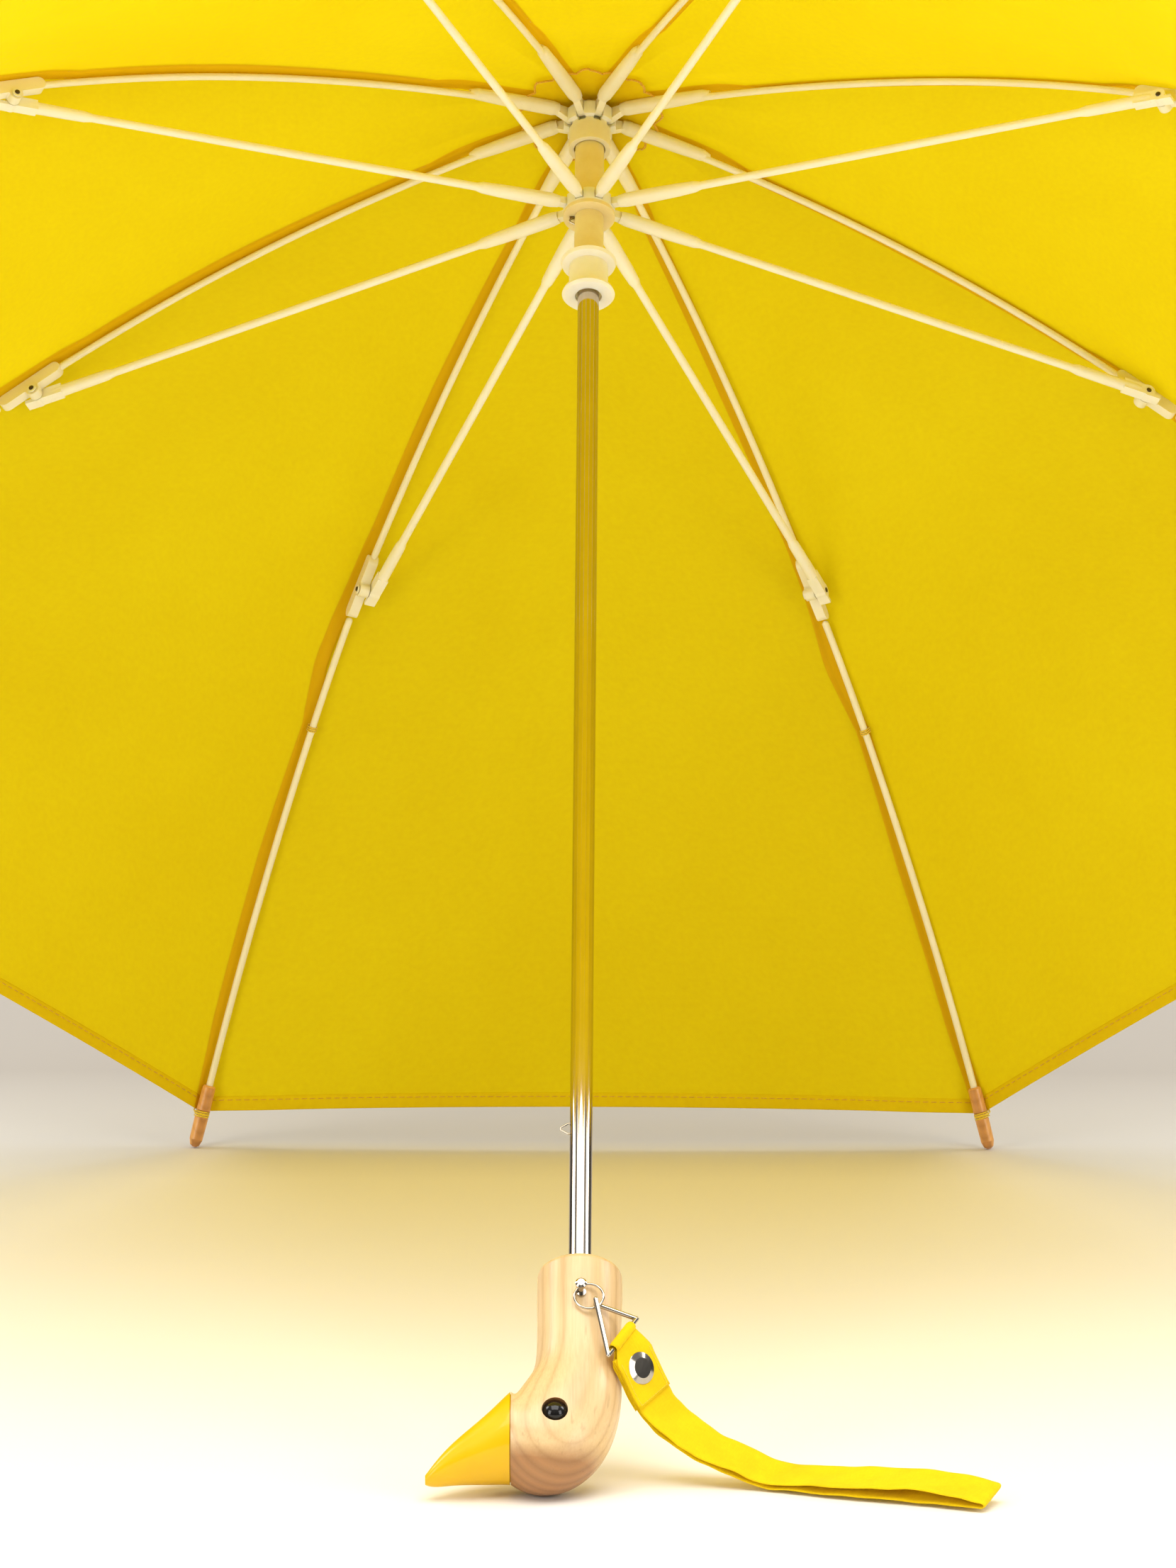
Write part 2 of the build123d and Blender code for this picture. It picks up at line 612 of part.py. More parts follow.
# ---- naming, placing and export ----
named = [
    ("shaft_tube", shaft.part), ("notch", notch.part), ("notch_wire", notch_wire.part),
    ("ferrule", ferrule.part), ("crown_cap", crown_cap.part), ("crown_rosette", crown_rosette.part),
    ("runner", runner.part), ("runner_wire", runner_wire.part), ("release_collar", release_collar.part),
    ("lower_catch", lower_catch), ("upper_catch", upper_catch), ("duck_head", duck_head.part),
    ("beak", beak.part), ("eye_left", eye_left), ("eye_right", eye_right),
    ("strap_stud", strap_stud.part), ("split_ring", split_ring.part),
]
for i in range(RIB_COUNT):
    az = FIRST_AZ + i * PITCH
    for label, solid, turn in (("rib_inner", rib_inner, az), ("rib_outer", rib_outer, az), ("rib_tip", rib_tip, az),
                               ("stretcher", stretcher, az), ("canopy_gore", gore, az + PITCH / 2)):
        named.append((f"{label}_{i + 1}", solid.part.rotate(Axis.Z, turn)))

pieces = [(label, REST * solid) for label, solid in named]
for label, solid in (("wire_link", wire_link), ("strap", strap), ("strap_snap", strap_snap)):
    pieces.append((label, ON_FLOOR * solid.part))

for label, piece in pieces:
    piece.label = label
    export_step(piece, f"parts/{label}.step")
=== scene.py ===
"""Children's stick umbrella with a duck-head handle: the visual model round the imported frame."""

import json
import math
import random

import bpy
import numpy as np
from mathutils import Matrix, Vector

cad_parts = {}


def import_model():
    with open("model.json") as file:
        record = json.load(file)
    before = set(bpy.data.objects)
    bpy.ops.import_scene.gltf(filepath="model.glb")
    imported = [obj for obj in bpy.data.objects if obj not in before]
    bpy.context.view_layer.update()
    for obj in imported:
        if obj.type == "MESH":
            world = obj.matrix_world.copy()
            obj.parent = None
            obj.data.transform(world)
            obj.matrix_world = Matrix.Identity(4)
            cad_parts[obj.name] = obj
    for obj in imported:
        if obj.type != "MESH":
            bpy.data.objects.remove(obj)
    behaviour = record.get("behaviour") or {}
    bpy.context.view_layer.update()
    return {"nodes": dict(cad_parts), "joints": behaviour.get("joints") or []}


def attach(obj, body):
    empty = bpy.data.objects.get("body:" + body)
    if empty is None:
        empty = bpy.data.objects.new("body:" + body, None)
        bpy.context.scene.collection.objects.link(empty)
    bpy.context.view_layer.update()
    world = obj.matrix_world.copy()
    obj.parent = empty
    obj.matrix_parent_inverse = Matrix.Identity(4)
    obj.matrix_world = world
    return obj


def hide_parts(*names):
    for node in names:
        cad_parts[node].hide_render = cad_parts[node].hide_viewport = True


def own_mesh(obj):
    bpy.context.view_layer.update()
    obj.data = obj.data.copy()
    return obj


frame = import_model()
MM = 0.001
JOINTS = {joint["name"]: joint for joint in frame["joints"]}
RIBS = 8
HALF = math.pi / RIBS

# The umbrella's own axes, from the record's joints: up the shaft, and out and along each rib's hinge.
UP = -np.array(JOINTS["runner_slide"]["axis"], float)
HINGES = [np.array(JOINTS[f"rib_fold_{n}"]["pos_m"], float) for n in range(1, RIBS + 1)]
ALONG = [np.array(JOINTS[f"rib_fold_{n}"]["axis"], float) for n in range(1, RIBS + 1)]
CROWN = sum(HINGES) / RIBS
OUT = [np.cross(t, UP) for t in ALONG]
OUT = [o / np.linalg.norm(o) * (1 if o @ (h - CROWN) > 0 else -1) for o, h in zip(OUT, HINGES)]
HINGE_R = float(np.linalg.norm(HINGES[0] - CROWN)) / MM

# Rib shape, mm and degrees: slope below the horizontal at each arc length.
STATIONS = (0, 116, 232, 262, 293, 375, 457, 480)
SLOPES = (6.0, 15.4, 26.0, 31.0, 35.0, 42.0, 50.0, 52.0)
RIB_OFF = 3.4
LEAN = 1.95
JOINT_S = 232.0
FLEX_S = 246.0
TIP_S = 445.0
HEM_S = 456.0
HEM_SAG = 3.0
TIE_S = 295.0
TIP_TIE_S = TIP_S + 10.9


def slope(s):
    return np.radians(np.interp(s, STATIONS, SLOPES))


ARC = np.arange(-6.0, 484.0, 0.5)
_a = slope(ARC + 0.25)
_r = np.concatenate([[0], np.cumsum(np.cos(_a) * 0.5)])[:-1]
_z = np.concatenate([[0], np.cumsum(-np.sin(_a) * 0.5)])[:-1]
_k = int(6.0 / 0.5)
RIB_R = HINGE_R + RIB_OFF * math.sin(slope(0)) + _r - _r[_k]
RIB_Z = RIB_OFF * math.cos(slope(0)) + _z - _z[_k]


def rib(s, off=0.0):
    """Radius and height over the crown hinge of a rib's centre line, moved off outwards."""
    a = slope(s)
    return np.interp(s, ARC, RIB_R) + off * np.sin(a), np.interp(s, ARC, RIB_Z) + off * np.cos(a)


def lean(s):
    rise = LEAN * np.minimum(1.0, s / JOINT_S)
    fall = LEAN * np.clip((TIP_S - s) / (TIP_S - JOINT_S - 16), 0, 1)
    return np.where(s <= JOINT_S + 16, rise, fall)


DRIFT = ((0, 0), (40, 0.8), (62, 1.5), (140, 2.6), (210, 2.0), (236, 2.6), (268, 4.8), (288, 2.4), (296, 1.2),
         (304, 1.5), (350, 2.8), (420, 2.3), (445, 1.0), (456, 0.4), (490, 0.4))


def seam_side(s):
    """Where the seam runs beside the rib's plane: it hangs off the rod to one side between its ties."""
    places, offsets = zip(*DRIFT)
    return lean(s) + np.interp(s, places, offsets)


def world(n, r, t, z):
    """Row-frame points of rib n's own coordinates in mm: out, along the hinge and up."""
    r, t, z = (np.asarray(x, float)[..., None] * MM for x in (r, t, z))
    return CROWN + r * OUT[n] + t * ALONG[n] + z * UP


def smooth(x):
    x = np.clip(x, 0, 1)
    return x * x * (3 - 2 * x)


# ---------------------------------------------------------------- materials
class Look:
    """A material's node tree round its Principled shader."""

    def __init__(self, name, **values):
        self.material = bpy.data.materials.new(name)
        self.material.use_nodes = True
        self.tree = self.material.node_tree
        self.shader = self.tree.nodes["Principled BSDF"]
        for key, value in values.items():
            self.shader.inputs[key.replace("_", " ")].default_value = value

    def put(self, socket, value):
        if isinstance(value, bpy.types.NodeSocket):
            self.tree.links.new(value, socket)
        else:
            socket.default_value = value

    def add(self, kind, inputs=(), **settings):
        node = self.tree.nodes.new("ShaderNode" + kind)
        for key, value in settings.items():
            setattr(node, key, value)
        for key, value in dict(inputs).items():
            self.put(node.inputs[key], value)
        return node

    def math(self, operation, a, b=0.0):
        return self.add("Math", {0: a, 1: b}, operation=operation).outputs[0]

    def local(self, scale=(1, 1, 1)):
        """Object coordinates turned so that Z runs up the shaft, from the crown, scaled."""
        turn = Vector((0, 0, 1)).rotation_difference(Vector(UP)).inverted()
        shift = -(turn @ Vector(CROWN))
        point = self.add("TexCoord").outputs["Object"]
        turned = self.add("Mapping", {"Vector": point, "Rotation": turn.to_euler(), "Location": shift})
        return self.add("Mapping", {"Vector": turned.outputs[0], "Scale": scale}).outputs[0]

    def object(self, scale=(1, 1, 1)):
        point = self.add("TexCoord").outputs["Object"]
        return self.add("Mapping", {"Vector": point, "Scale": scale}).outputs[0]

    def uv(self, scale=(1, 1, 1)):
        point = self.add("TexCoord").outputs["UV"]
        return self.add("Mapping", {"Vector": point, "Scale": scale}).outputs[0]

    def noise(self, vector, scale, detail=3.0, roughness=0.5, distortion=0.0):
        inputs = {"Vector": vector, "Scale": scale, "Detail": detail}
        inputs |= {"Roughness": roughness, "Distortion": distortion}
        return self.add("TexNoise", inputs).outputs["Fac"]

    def ramp(self, factor, stops):
        node = self.add("ValToRGB", {"Fac": factor})
        while len(node.color_ramp.elements) < len(stops):
            node.color_ramp.elements.new(0.5)
        for element, (place, colour) in zip(node.color_ramp.elements, stops):
            element.position = place
            element.color = (*colour, 1) if len(colour) == 3 else colour
        return node.outputs["Color"]

    def span(self, value, low, high, start=0.0, end=1.0):
        inputs = {"Value": value, "From Min": start, "From Max": end, "To Min": low, "To Max": high}
        return self.add("MapRange", inputs).outputs["Result"]

    def mix(self, factor, a, b, blend="MIX"):
        node = self.add("Mix", data_type="RGBA", blend_type=blend)
        for index, value in ((0, factor), (6, a), (7, b)):
            no_alpha = isinstance(value, tuple) and len(value) != 4
            self.put(node.inputs[index], (*value, 1) if no_alpha else value)
        return node.outputs[2]

    def colour(self, value):
        self.put(self.shader.inputs["Base Color"], value)

    def rough(self, value):
        self.put(self.shader.inputs["Roughness"], value)

    def bump(self, height, strength, distance, below=None):
        node = self.add("Bump", {"Height": height, "Strength": strength, "Distance": distance})
        if below is not None:
            self.put(node.inputs["Normal"], below)
        self.put(self.shader.inputs["Normal"], node.outputs[0])
        return node.outputs[0]


def canopy_cloth(name, tape=True):
    """Tightly woven nylon that glows where light comes through; seams and hem are doubled. Beside each rib
    the colour turns a darker orange, partly doubled seam cloth and partly painted shade.
    """
    look = Look(name, Roughness=0.66, Sheen_Weight=0.06, Sheen_Roughness=0.4, Specular_IOR_Level=0.1)
    look.shader.inputs["Sheen Tint"].default_value = (1.0, 0.86, 0.25, 1)
    warp = look.noise(look.uv((5200, 420, 1)), 1.0, 2.0)
    weft = look.noise(look.uv((420, 5200, 1)), 1.0, 2.0)
    weave = look.math("ADD", warp, weft)
    cloud = look.noise(look.object(), 9.0, 4.0, 0.6)
    fine = look.noise(look.uv((1, 1, 1)), 420.0, 2.0)
    tone = look.math("ADD", look.math("MULTIPLY", cloud, 0.6), look.math("MULTIPLY", fine, 0.4))
    base = look.ramp(tone, [(0.3, (0.82, 0.625, 0.002)), (0.7, (0.89, 0.715, 0.004))])
    through = look.ramp(tone, [(0.3, (0.90, 0.62, 0.001)), (0.7, (0.94, 0.72, 0.003))])
    if tape:
        # painted shade: a strip beside each rib is mixed towards dark orange, partly the doubled seam tape
        # and partly shade painted along the rib; the doubled cloth also passes less light
        across = look.math("ABSOLUTE", look.add("SeparateXYZ", {0: look.uv()}).outputs["X"])
        doubled_seam_and_shade = look.span(across, 1.0, 0.0, 0.0028, 0.0033)
        base = look.mix(look.math("MULTIPLY", doubled_seam_and_shade, 0.62), base, (0.83, 0.40, 0.002))
        through = look.mix(look.math("MULTIPLY", doubled_seam_and_shade, 0.7), through, (0.60, 0.24, 0.001))
    look.colour(base)
    look.rough(look.span(fine, 0.52, 0.72, 0.3, 0.7))
    below = look.bump(cloud, 0.12, 0.004)
    normal = look.bump(weave, 0.25, 0.00012, below)
    glow = look.add("BsdfTranslucent", {"Color": through, "Normal": normal})
    both = look.add("MixShader", {0: 0.36, 1: look.shader.outputs[0], 2: glow.outputs[0]})
    out = next(node for node in look.tree.nodes if node.type == "OUTPUT_MATERIAL")
    look.put(out.inputs["Surface"], both.outputs[0])
    return look.material


def thread(name, colour):
    look = Look(name, Roughness=0.55, Sheen_Weight=0.3, Specular_IOR_Level=0.35)
    twist = look.noise(look.object(), 2600.0, 2.0)
    dark = tuple(c * 0.72 for c in colour)
    look.colour(look.ramp(twist, [(0.35, dark), (0.65, colour)]))
    look.bump(twist, 0.5, 0.0001)
    return look.material


def rod_plastic(name, light, dark):
    """Cream glass-fibre and nylon, faintly clouded."""
    look = Look(name, Roughness=0.36, Subsurface_Weight=0.25, Subsurface_Scale=0.002, Coat_Weight=0.15)
    look.shader.inputs["Subsurface Radius"].default_value = (1.0, 0.8, 0.4)
    cloud = look.noise(look.object(), 60.0, 4.0, 0.6)
    grit = look.noise(look.object(), 900.0, 2.0)
    look.colour(look.ramp(cloud, [(0.32, dark), (0.68, light)]))
    look.rough(look.span(grit, 0.26, 0.46, 0.25, 0.75))
    look.bump(grit, 0.05, 0.0001)
    return look.material


def hub_plastic(name, low, high, warm=(0.84, 0.70, 0.36), warm_dark=(0.78, 0.62, 0.27)):
    """Moulded plastic of the hub; its sleeves between the heights low and high are frosted and warmer."""
    look = Look(name, Roughness=0.42, Subsurface_Weight=0.5, Subsurface_Scale=0.003, Coat_Weight=0.1)
    look.shader.inputs["Subsurface Radius"].default_value = (1.0, 0.8, 0.45)
    height = look.add("SeparateXYZ", {0: look.local()}).outputs["Z"]
    cloud = look.noise(look.object(), 120.0, 4.0, 0.6)
    grit = look.noise(look.object(), 1500.0, 2.0)
    cream = look.ramp(cloud, [(0.3, (0.84, 0.80, 0.67)), (0.7, (0.89, 0.86, 0.75))])
    frosted = look.ramp(cloud, [(0.3, warm_dark), (0.7, warm)])
    stops = []
    for edge_low, edge_high in zip(low, high):
        rise = look.span(height, 0.0, 1.0, edge_low - 0.0003, edge_low + 0.0003)
        fall = look.span(height, 1.0, 0.0, edge_high - 0.0003, edge_high + 0.0003)
        stops.append(look.math("MULTIPLY", rise, fall))
    band = stops[0] if len(stops) == 1 else look.math("ADD", stops[0], stops[1])
    look.colour(look.mix(band, cream, frosted))
    look.rough(look.span(grit, 0.34, 0.55, 0.25, 0.75))
    look.bump(grit, 0.15, 0.0002)
    return look.material


def maple(name, light, dark, end, ring=0.0021, finish=0.32):
    """Turned and sanded maple: growth rings, fibre streaks and a deeper brown on faces turned down the shaft,
    partly end grain and partly painted shade, under a satin lacquer.
    """
    look = Look(name, Roughness=finish, Coat_Weight=0.25, Coat_Roughness=0.22, Specular_IOR_Level=0.4)
    place = look.local()
    part = look.add("SeparateXYZ", {0: place})
    wobble = look.noise(look.local((14, 14, 3.2)), 1.0, 3.0, 0.55)
    far_x = look.math("ADD", part.outputs["X"], 0.009)
    far_y = look.math("ADD", part.outputs["Y"], 0.050)
    slant = look.math("MULTIPLY", part.outputs["Z"], 0.03)
    reach = look.math("SQRT", look.math("ADD", look.math("POWER", look.math("ADD", far_x, slant), 2.0),
                                        look.math("POWER", far_y, 2.0)))
    rings = look.math("ADD", look.math("DIVIDE", reach, ring), look.math("MULTIPLY", wobble, 1.3))
    late = look.math("PINGPONG", rings, 1.0)
    fibre = look.noise(look.local((1500, 1500, 46)), 1.0, 3.0, 0.6)
    fleck = look.noise(look.local((620, 620, 60)), 1.0, 2.0, 0.5)
    cloud = look.noise(place, 34.0, 3.0)
    tone = look.math("ADD", look.math("MULTIPLY", look.math("POWER", late, 3.0), 0.17),
                     look.math("ADD", look.math("MULTIPLY", fibre, 0.30), look.math("MULTIPLY", cloud, 0.32)))
    side = look.ramp(tone, [(0.28, light), (0.66, dark)])
    # painted shade: faces turned down the shaft, such as the bottom of the duck head, are mixed towards the
    # darker end colour, partly for end grain and partly as painted shade
    normal = look.add("TexCoord").outputs["Normal"]
    facing = look.add("VectorMath", {0: normal, 1: tuple(UP)}, operation="DOT_PRODUCT").outputs["Value"]
    soft = look.math("ADD", facing, look.math("MULTIPLY", look.math("SUBTRACT", wobble, 0.5), 0.12))
    end_grain_and_shade = look.span(soft, 1.0, 0.0, -0.70, -0.46)
    end_grain_and_shade_cover = look.math("MULTIPLY", end_grain_and_shade, 0.85)
    end_grain_and_shade_rings = look.mix(late, end, tuple(c * 0.72 for c in end))
    grain = look.mix(end_grain_and_shade_cover, side, end_grain_and_shade_rings)
    pores = look.span(fleck, 1.0, 0.0, 0.24, 0.36)
    look.colour(look.mix(look.math("MULTIPLY", pores, 0.35), grain, tuple(c * 0.6 for c in dark)))
    look.rough(look.span(fibre, finish - 0.06, finish + 0.14, 0.3, 0.7))
    look.bump(look.math("ADD", fibre, look.math("MULTIPLY", late, 0.25)), 0.12, 0.0003)
    return look.material


def steel(name, colour, rough, streak):
    look = Look(name, Metallic=1.0, Roughness=rough)
    lines = look.noise(look.local((900, 900, 9)), 1.0, 3.0, 0.6)
    cloud = look.noise(look.object(), 45.0, 4.0, 0.65)
    tone = look.math("ADD", look.math("MULTIPLY", lines, 0.6), look.math("MULTIPLY", cloud, 0.4))
    look.colour(look.ramp(tone, [(0.3, tuple(c * 0.84 for c in colour)), (0.7, colour)]))
    look.rough(look.span(tone, rough - streak, rough + streak, 0.3, 0.7))
    look.bump(lines, 0.02, 0.00003)
    return look.material


def enamel(name, light, dark, rough):
    """Glossy brushed enamel with a faint orange peel."""
    look = Look(name, Roughness=rough, Coat_Weight=0.3, Coat_Roughness=0.05, Specular_IOR_Level=0.25)
    peel = look.noise(look.object(), 260.0, 2.0)
    cloud = look.noise(look.object(), 40.0, 4.0, 0.6)
    look.colour(look.ramp(cloud, [(0.3, dark), (0.7, light)]))
    look.rough(look.span(cloud, rough - 0.05, rough + 0.09, 0.3, 0.7))
    node = look.add("Bump", {"Height": peel, "Strength": 0.06, "Distance": 0.0006})
    look.put(look.shader.inputs["Normal"], node.outputs[0])
    look.put(look.shader.inputs["Coat Normal"], node.outputs[0])
    return look.material


def webbing(name):
    """Plain-woven cotton tape of the wrist strap."""
    look = Look(name, Roughness=0.72, Sheen_Weight=0.08, Specular_IOR_Level=0.12)
    look.shader.inputs["Sheen Tint"].default_value = (1.0, 0.9, 0.4, 1)
    warp = look.noise(look.uv((3400, 300, 1)), 1.0, 2.0)
    weft = look.noise(look.uv((300, 3400, 1)), 1.0, 2.0)
    weave = look.math("ADD", warp, weft)
    cloud = look.noise(look.object(), 70.0, 4.0, 0.6)
    tone = look.math("ADD", look.math("MULTIPLY", cloud, 0.5), look.math("MULTIPLY", weave, 0.25))
    look.colour(look.ramp(tone, [(0.35, (0.72, 0.46, 0.001)), (0.62, (0.82, 0.58, 0.002))]))
    below = look.bump(cloud, 0.2, 0.001)
    look.bump(weave, 0.4, 0.0002, below)
    return look.material


def floor_paper():
    look = Look("floor_paper", Roughness=0.62, Specular_IOR_Level=0.3)
    cloud = look.noise(look.object(), 1.3, 4.0, 0.5)
    grit = look.noise(look.object(), 320.0, 3.0)
    near = look.ramp(cloud, [(0.3, (0.87, 0.84, 0.77)), (0.7, (0.895, 0.87, 0.81))])
    # painted shadow: the floor turns grey from 0.22 m to 0.42 m behind the umbrella, standing in for the
    # canopy's shadow on the floor there
    painted_shadow_depth = look.add("SeparateXYZ", {0: look.object()}).outputs["Y"]
    look.colour(look.mix(look.span(painted_shadow_depth, 0.0, 1.0, 0.22, 0.42), near, (0.50, 0.46, 0.41)))
    look.bump(grit, 0.05, 0.0003)
    return look.material


YELLOW_CLOTH = canopy_cloth("canopy_nylon")
PLAIN_CLOTH = canopy_cloth("rosette_nylon", tape=False)
SEAM_THREAD = thread("seam_thread", (0.82, 0.43, 0.004))
EDGE_THREAD = thread("rosette_edge", (0.84, 0.44, 0.003))
TIE_THREAD = thread("tie_thread", (0.93, 0.64, 0.01))
RIB_CREAM = rod_plastic("rib_fibre", (0.88, 0.82, 0.60), (0.84, 0.77, 0.53))
STRETCHER_CREAM = rod_plastic("stretcher_fibre", (0.90, 0.86, 0.68), (0.87, 0.82, 0.62))
NOTCH_PLASTIC = hub_plastic("notch_plastic", (-0.0135,), (-0.0033,), (0.86, 0.79, 0.58), (0.80, 0.72, 0.48))
RUNNER_PLASTIC = hub_plastic("runner_plastic", (-0.0389, -0.085), (-0.0095, -0.0445))
COLLAR_PLASTIC = hub_plastic("collar_plastic", (-0.2,), (-0.19,))
HANDLE_MAPLE = maple("handle_maple", (0.74, 0.52, 0.26), (0.50, 0.29, 0.12), (0.36, 0.14, 0.035))
TIP_MAPLE = maple("tip_maple", (0.80, 0.40, 0.11), (0.58, 0.24, 0.05), (0.50, 0.20, 0.045), 0.0016, 0.36)
BEAK_ENAMEL = enamel("beak_enamel", (0.80, 0.48, 0.0), (0.74, 0.42, 0.0), 0.34)
EYE_GLOSS = enamel("eye_gloss", (0.012, 0.010, 0.009), (0.004, 0.004, 0.004), 0.12)
SHAFT_STEEL = steel("shaft_steel", (0.60, 0.52, 0.42), 0.07, 0.02)
NICKEL = steel("nickel", (0.52, 0.47, 0.40), 0.14, 0.04)
STRAP_WEBBING = webbing("strap_webbing")

FINISHES = {
    "shaft_tube": SHAFT_STEEL, "ferrule": COLLAR_PLASTIC, "crown_cap": COLLAR_PLASTIC, "notch_wire": NICKEL,
    "runner_wire": NICKEL, "lower_catch": NICKEL, "upper_catch": NICKEL, "strap_stud": NICKEL,
    "split_ring": NICKEL, "wire_link": NICKEL, "strap_snap": NICKEL, "notch": NOTCH_PLASTIC,
    "runner": RUNNER_PLASTIC, "release_collar": COLLAR_PLASTIC, "duck_head": HANDLE_MAPLE,
    "beak": BEAK_ENAMEL, "eye_left": EYE_GLOSS, "eye_right": EYE_GLOSS,
}
for n in range(1, RIBS + 1):
    FINISHES[f"rib_inner_{n}"] = FINISHES[f"rib_outer_{n}"] = RIB_CREAM
    FINISHES[f"stretcher_{n}"] = STRETCHER_CREAM
    FINISHES[f"rib_tip_{n}"] = TIP_MAPLE
for name, material in FINISHES.items():
    for holder in frame["nodes"][name].material_slots:
        holder.material = material


# ---------------------------------------------------------------- meshes
def mesh_object(name, points, faces, materials, uv=None, kinds=None, normals=None):
    mesh = bpy.data.meshes.new(name)
    mesh.from_pydata([tuple(p) for p in points], [], [tuple(f) for f in faces])
    mesh.update()
    mesh.polygons.foreach_set("use_smooth", [True] * len(mesh.polygons))
    for material in materials:
        mesh.materials.append(material)
    if kinds is not None:
        mesh.polygons.foreach_set("material_index", kinds)
    if uv is not None:
        corner = np.zeros(len(mesh.loops), np.int32)
        mesh.loops.foreach_get("vertex_index", corner)
        layer = mesh.uv_layers.new(name="UVMap")
        layer.data.foreach_set("uv", np.asarray(uv, np.float32)[corner].ravel())
    if normals is not None:
        mesh.normals_split_custom_set_from_vertices([tuple(v) for v in normals])
    obj = bpy.data.objects.new(name, mesh)
    bpy.context.scene.collection.objects.link(obj)
    return obj


def tube(line, radius, sides=8, caps=True):
    """Points and faces of a round tube along a line; radius is one number or one for each point."""
    line = np.asarray(line, float)
    radius = np.broadcast_to(radius, len(line))
    ahead = np.gradient(line, axis=0)
    ahead /= np.linalg.norm(ahead, axis=1)[:, None]
    side = np.cross(ahead[0], (0.31, 0.17, 0.94))
    points, faces = [], []
    for i, (p, d) in enumerate(zip(line, ahead)):
        side = side - d * (side @ d)
        side /= np.linalg.norm(side)
        other = np.cross(d, side)
        for k in range(sides):
            a = 2 * math.pi * k / sides
            points.append(p + radius[i] * (math.cos(a) * side + math.sin(a) * other))
        if i:
            low, high = (i - 1) * sides, i * sides
            faces += [(low + k, low + (k + 1) % sides, high + (k + 1) % sides, high + k)
                      for k in range(sides)]
    if caps:
        faces.append(tuple(range(sides))[::-1])
        faces.append(tuple(range((len(line) - 1) * sides, len(line) * sides)))
    return points, faces


class Gather:
    """Collects points and faces of several small solids into one mesh."""

    def __init__(self):
        self.points, self.faces, self.kinds, self.uv = [], [], [], []

    def take(self, points, faces, kind=0, uv=None):
        start = len(self.points)
        self.points += [tuple(p) for p in points]
        self.faces += [tuple(start + i for i in face) for face in faces]
        self.kinds += [kind] * len(faces)
        self.uv += [tuple(x) for x in (uv if uv is not None else [(1.0, 1.0)] * len(points))]


# ---------------------------------------------------------------- canopy
COVER = ((-3, 4.7), (44, 4.7), (62, 2.4), (204, 2.8), (216, 4.0), (250, 4.0), (262, 2.9),
         (432, 2.6), (442, 3.5), (480, 3.5))
TAPE = 2.8
TAPE_STEP = 0.45
HEM_W = 5.5
HEM_STEP = 0.7
NEAR = np.array([0.0, 1.1, 2.2, TAPE, TAPE + 0.35, 5.5, 9.0, 14.0])
FAR = 16
SADDLE = 0.030


def cover(s):
    """Height of the cloth over the rib's centre line, eased between its stations."""
    s = np.asarray(s, float)
    out = np.full(s.shape, COVER[-1][1])
    for (a, p), (b, q) in zip(COVER[::-1][1:], COVER[::-1][:-1]):
        out = np.where(s <= b, p + (q - p) * smooth((s - a) / (b - a)), out)
    return out


def chords(s):
    """Distances from the rib of a row's columns, out to the middle of the gore."""
    width = float(rib(s)[0]) * math.sin(HALF)
    near = NEAR * min(1.0, width / (2.0 * NEAR[-1]))
    far = near[-1] + (width - near[-1]) * (np.arange(1, FAR + 1) / FAR)
    return np.concatenate([near, far]), width


def cloth_row(s, inward, hem_edge=0.0):
    """One row of half a gore: out, along and up in mm, with the distance from the rib."""
    u, width = chords(s)
    v = u / width
    belly = 1 - (1 - v) ** 2
    s_row = s - HEM_SAG * belly * smooth((s - 330) / (HEM_S - 330))
    ridge = cover(s_row)
    usual = 2.6 + 2.1 * smooth((70 - s_row) / 40)
    off = usual + (ridge - usual) * np.exp(-(u / 16.0) ** 2) - inward
    r, z = rib(s_row, off)
    steep = slope(s_row)
    taut = SADDLE * width * belly * smooth(s / 60)
    # shallow creases fan out of the corner, where the tip pulls the cloth, and out of the crown
    pull = np.exp(-((HEM_S - s_row) / 60.0) ** 2) * np.exp(-((v - 0.16) / 0.09) ** 2) * 0.9
    pull += np.exp(-((s_row - 40) / 40.0) ** 2) * np.exp(-((v - 0.5) / 0.2) ** 2) * 0.5
    r = r - (taut + pull) * np.sin(steep)
    z = z - (taut + pull) * np.cos(steep)
    tape = np.where((u <= TAPE + 0.01) & (s > 8), TAPE_STEP, 0.0) * (1 - hem_edge)
    r, z = r - tape * np.sin(steep), z - tape * np.cos(steep)
    flat = r * (1 - v * math.sin(HALF) ** 2)
    side = r * v * math.sin(HALF) * math.cos(HALF)
    return flat, side + seam_side(s_row) * (1 - v), z, u, s_row


def canopy_rows():
    """Arc length, inward offset and a hem flag for each row, with the row where the rib bends."""
    inner = np.concatenate([[-1.6, 1.0], np.linspace(4, FLEX_S, 42)])
    outer = np.linspace(FLEX_S, HEM_S - HEM_W - 0.5, 34)[1:]
    rows = [(s, 0.0, 0.0) for s in inner] + [(s, 0.0, 0.0) for s in outer]
    rows += [(HEM_S - HEM_W / 2, 0.0, 0.0), (HEM_S - 0.25, 0.02, 0.0), (HEM_S, 0.32, 1.0)]
    rows += [(HEM_S - 0.3, HEM_STEP, 1.0), (HEM_S - HEM_W / 2, HEM_STEP + 0.12, 1.0)]
    rows += [(HEM_S - HEM_W, HEM_STEP, 1.0), (HEM_S - HEM_W - 0.4, 0.12, 1.0)]
    return rows, len(inner) - 1


